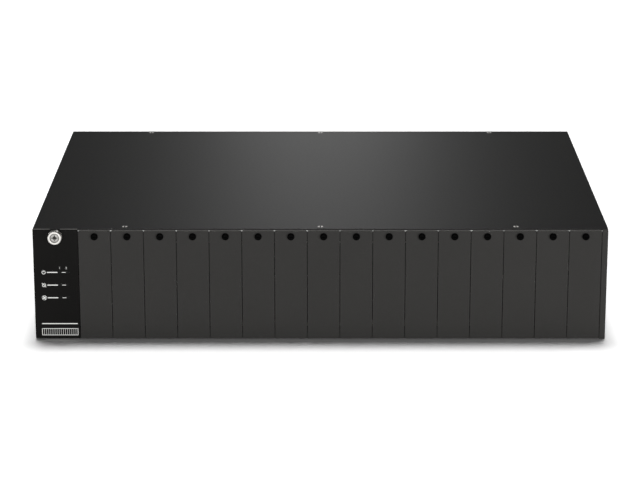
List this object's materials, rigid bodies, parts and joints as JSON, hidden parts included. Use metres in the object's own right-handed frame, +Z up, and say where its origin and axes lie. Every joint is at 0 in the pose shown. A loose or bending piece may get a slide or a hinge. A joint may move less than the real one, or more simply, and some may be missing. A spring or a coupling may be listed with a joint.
{
  "type": "media converter chassis",
  "caption": "Rack-mount chassis for slide-in fibre media converters, with blank slot covers, a status module, and pull-out power supplies and fans at the rear.",
  "frame": {"origin": "centre of the steel body's underside, halfway across and halfway along", "axes": "+X to the right as seen from the front, +Y to the rear, +Z up; the slot covers face -Y"},
  "size_m": [0.44, 0.3515, 0.088],
  "materials": {
    "chassis_paint": "satin black powder coat",
    "cover_paint": "satin black powder coat",
    "panel_film": "smooth black film with white print",
    "zinc_sheet": "galvanised sheet",
    "nickel_screw": "nickel plated",
    "black_screw": "black zinc",
    "circuit_board": "green solder mask",
    "guide_plastic": "moulded nylon",
    "connector_plastic": "moulded black plastic",
    "lamp_plastic": "smoked unlit lamp",
    "fan_plastic": "moulded black plastic",
    "guard_wire": "bright plated wire",
    "switch_plastic": "smooth black plastic",
    "handle_paint": "black powder coat",
    "brass_screw": "plain brass",
    "lead_sleeve": "black sleeve"
  },
  "bodies": {
    "chassis": {"base_tray": "chassis_paint", "top_cover": "chassis_paint", "top_cover_screws": "nickel_screw", "upper_front_rail": "zinc_sheet", "lower_front_rail": "zinc_sheet", "upper_guide_plate": "zinc_sheet", "lower_guide_plate": "zinc_sheet", "card_guides": "guide_plastic", "bulkhead": "zinc_sheet", "backplane_board": "circuit_board", "backplane_spacers": "nickel_screw", "slot_power_plugs": "connector_plastic", "dock_sockets": "connector_plastic", "rear_panel": "chassis_paint", "frame_screws": "black_screw", "psu_rails": "zinc_sheet", "fan_1_frame": "fan_plastic", "fan_2_frame": "fan_plastic", "fan_guards": "guard_wire", "fan_screws": "black_screw", "fan_leads": "lead_sleeve", "ground_screw": "brass_screw"},
    "status_module": {"status_panel": "panel_film", "status_board": "circuit_board", "status_lamps": "lamp_plastic"},
    "status_screw": {"status_thumbscrew": "nickel_screw"},
    "fan_1": {"fan_1_rotor": "fan_plastic"},
    "fan_2": {"fan_2_rotor": "fan_plastic"},
    "psu_1": {"psu_1_case": "zinc_sheet", "psu_1_lid": "zinc_sheet", "psu_1_faceplate": "chassis_paint", "psu_1_inlet": "connector_plastic", "psu_1_handle": "handle_paint", "psu_1_board": "circuit_board"},
    "psu_1_switch": {"psu_1_rocker": "switch_plastic"},
    "psu_1_screw": {"psu_1_thumbscrew": "nickel_screw"},
    "psu_2": {"psu_2_case": "zinc_sheet", "psu_2_lid": "zinc_sheet", "psu_2_faceplate": "chassis_paint", "psu_2_inlet": "connector_plastic", "psu_2_handle": "handle_paint", "psu_2_board": "circuit_board"},
    "psu_2_switch": {"psu_2_rocker": "switch_plastic"},
    "psu_2_screw": {"psu_2_thumbscrew": "nickel_screw"},
    "cover_01": {"slot_cover_01": "cover_paint"},
    "cover_02": {"slot_cover_02": "cover_paint"},
    "cover_03": {"slot_cover_03": "cover_paint"},
    "cover_04": {"slot_cover_04": "cover_paint"},
    "cover_05": {"slot_cover_05": "cover_paint"},
    "cover_06": {"slot_cover_06": "cover_paint"},
    "cover_07": {"slot_cover_07": "cover_paint"},
    "cover_08": {"slot_cover_08": "cover_paint"},
    "cover_09": {"slot_cover_09": "cover_paint"},
    "cover_10": {"slot_cover_10": "cover_paint"},
    "cover_11": {"slot_cover_11": "cover_paint"},
    "cover_12": {"slot_cover_12": "cover_paint"},
    "cover_13": {"slot_cover_13": "cover_paint"},
    "cover_14": {"slot_cover_14": "cover_paint"},
    "cover_15": {"slot_cover_15": "cover_paint"},
    "cover_16": {"slot_cover_16": "cover_paint"}
  },
  "joints": [
    {"name": "status_module_slide", "type": "slide", "parent": "chassis", "child": "status_module", "axis": [0, -1, 0], "range_m": [0, 0.125]},
    {"name": "status_screw_turn", "type": "hinge", "parent": "status_module", "child": "status_screw", "pos_m": [-0.2028, -0.16, 0.0823], "axis": [0, -1, 0], "continuous": true},
    {"name": "fan_1_spin", "type": "hinge", "parent": "chassis", "child": "fan_1", "pos_m": [-0.034, 0.146, 0.044], "axis": [0, 1, 0], "continuous": true},
    {"name": "fan_2_spin", "type": "hinge", "parent": "chassis", "child": "fan_2", "pos_m": [0.034, 0.146, 0.044], "axis": [0, 1, 0], "continuous": true},
    {"name": "psu_1_slide", "type": "slide", "parent": "chassis", "child": "psu_1", "axis": [0, 1, 0], "range_m": [0, 0.185]},
    {"name": "psu_1_switch_rock", "type": "hinge", "parent": "psu_1", "child": "psu_1_switch", "pos_m": [-0.117, 0.161, 0.056], "axis": [1, 0, 0], "range_deg": [-16, 0]},
    {"name": "psu_1_screw_turn", "type": "hinge", "parent": "psu_1", "child": "psu_1_screw", "pos_m": [-0.2046, 0.1615, 0.077], "axis": [0, 1, 0], "continuous": true},
    {"name": "psu_2_slide", "type": "slide", "parent": "chassis", "child": "psu_2", "axis": [0, 1, 0], "range_m": [0, 0.185]},
    {"name": "psu_2_switch_rock", "type": "hinge", "parent": "psu_2", "child": "psu_2_switch", "pos_m": [0.183, 0.161, 0.056], "axis": [1, 0, 0], "range_deg": [-16, 0]},
    {"name": "psu_2_screw_turn", "type": "hinge", "parent": "psu_2", "child": "psu_2_screw", "pos_m": [0.0954, 0.1615, 0.077], "axis": [0, 1, 0], "continuous": true},
    {"name": "cover_01_slide", "type": "slide", "parent": "chassis", "child": "cover_01", "axis": [0, -1, 0], "range_m": [0, 0.04]},
    {"name": "cover_02_slide", "type": "slide", "parent": "chassis", "child": "cover_02", "axis": [0, -1, 0], "range_m": [0, 0.04]},
    {"name": "cover_03_slide", "type": "slide", "parent": "chassis", "child": "cover_03", "axis": [0, -1, 0], "range_m": [0, 0.04]},
    {"name": "cover_04_slide", "type": "slide", "parent": "chassis", "child": "cover_04", "axis": [0, -1, 0], "range_m": [0, 0.04]},
    {"name": "cover_05_slide", "type": "slide", "parent": "chassis", "child": "cover_05", "axis": [0, -1, 0], "range_m": [0, 0.04]},
    {"name": "cover_06_slide", "type": "slide", "parent": "chassis", "child": "cover_06", "axis": [0, -1, 0], "range_m": [0, 0.04]},
    {"name": "cover_07_slide", "type": "slide", "parent": "chassis", "child": "cover_07", "axis": [0, -1, 0], "range_m": [0, 0.04]},
    {"name": "cover_08_slide", "type": "slide", "parent": "chassis", "child": "cover_08", "axis": [0, -1, 0], "range_m": [0, 0.04]},
    {"name": "cover_09_slide", "type": "slide", "parent": "chassis", "child": "cover_09", "axis": [0, -1, 0], "range_m": [0, 0.04]},
    {"name": "cover_10_slide", "type": "slide", "parent": "chassis", "child": "cover_10", "axis": [0, -1, 0], "range_m": [0, 0.04]},
    {"name": "cover_11_slide", "type": "slide", "parent": "chassis", "child": "cover_11", "axis": [0, -1, 0], "range_m": [0, 0.04]},
    {"name": "cover_12_slide", "type": "slide", "parent": "chassis", "child": "cover_12", "axis": [0, -1, 0], "range_m": [0, 0.04]},
    {"name": "cover_13_slide", "type": "slide", "parent": "chassis", "child": "cover_13", "axis": [0, -1, 0], "range_m": [0, 0.04]},
    {"name": "cover_14_slide", "type": "slide", "parent": "chassis", "child": "cover_14", "axis": [0, -1, 0], "range_m": [0, 0.04]},
    {"name": "cover_15_slide", "type": "slide", "parent": "chassis", "child": "cover_15", "axis": [0, -1, 0], "range_m": [0, 0.04]},
    {"name": "cover_16_slide", "type": "slide", "parent": "chassis", "child": "cover_16", "axis": [0, -1, 0], "range_m": [0, 0.04]}
  ]
}
